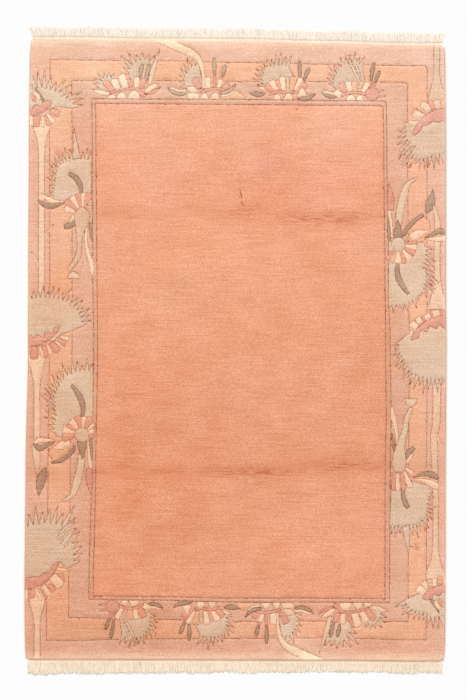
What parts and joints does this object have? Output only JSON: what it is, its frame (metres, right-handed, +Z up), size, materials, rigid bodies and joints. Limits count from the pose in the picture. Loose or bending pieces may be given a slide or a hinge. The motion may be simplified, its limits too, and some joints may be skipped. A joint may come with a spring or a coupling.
{
  "type": "hand-knotted rug",
  "caption": "Flat rectangular wool rug with a plain field, a wide leafy border carved in outline, overcast long sides and a fringe at each end.",
  "frame": {"origin": "middle of the rug's underside, on the floor", "axes": "+Z up out of the pile; +Y along the length of the rug, towards the end at the top of the picture; +X across its width, to the right in the picture"},
  "size_m": [2.0106, 3.0872, 0.013],
  "materials": {
    "pile_wool": "matt clipped pile",
    "selvedge_wool": "matt wrapped yarn",
    "fringe_cotton": "matt twisted cotton"
  },
  "bodies": {
    "root": {"knotted_pile": "pile_wool", "selvedge_left": "selvedge_wool", "selvedge_right": "selvedge_wool", "fringe_top": "fringe_cotton", "fringe_bottom": "fringe_cotton"}
  },
  "joints": []
}
